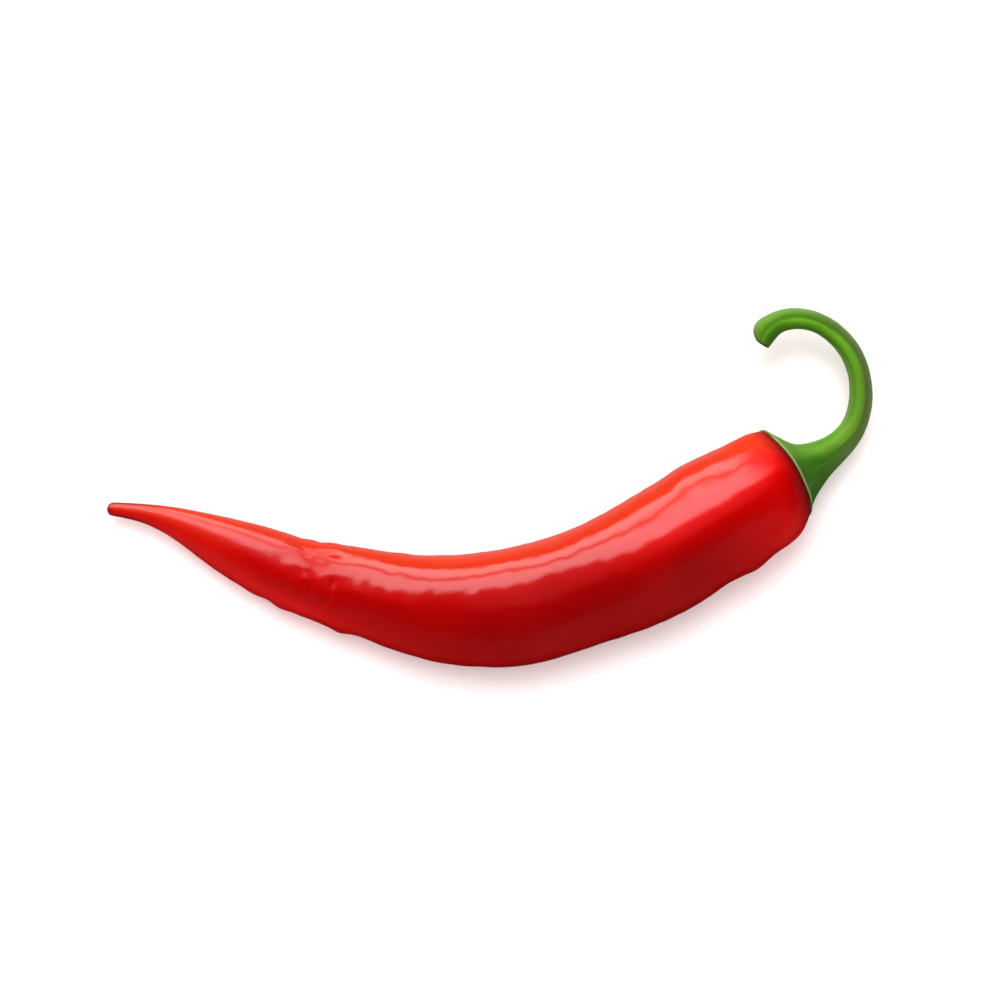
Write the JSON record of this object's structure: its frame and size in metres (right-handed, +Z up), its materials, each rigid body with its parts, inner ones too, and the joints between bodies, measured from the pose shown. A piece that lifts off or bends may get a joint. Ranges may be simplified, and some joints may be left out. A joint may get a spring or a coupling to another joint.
{
  "type": "chilli pepper",
  "caption": "Long curved chilli pepper lying on its side: a tapering pod with a pointed tip, and a flared calyx with a hooked stem.",
  "frame": {"origin": "on the surface that the pepper lies on, under the middle of the whole pepper's box", "axes": "+X from the tip of the pod to the stem, +Y towards the inside of the pod's bend and the hook of the stem, +Z up from the surface; the bend lies level"},
  "size_m": [0.1227, 0.0574, 0.0188],
  "materials": {
    "red_skin": "gloss",
    "green_stem": "satin"
  },
  "bodies": {
    "root": {"pod": "red_skin", "calyx_and_stem": "green_stem"}
  },
  "joints": []
}
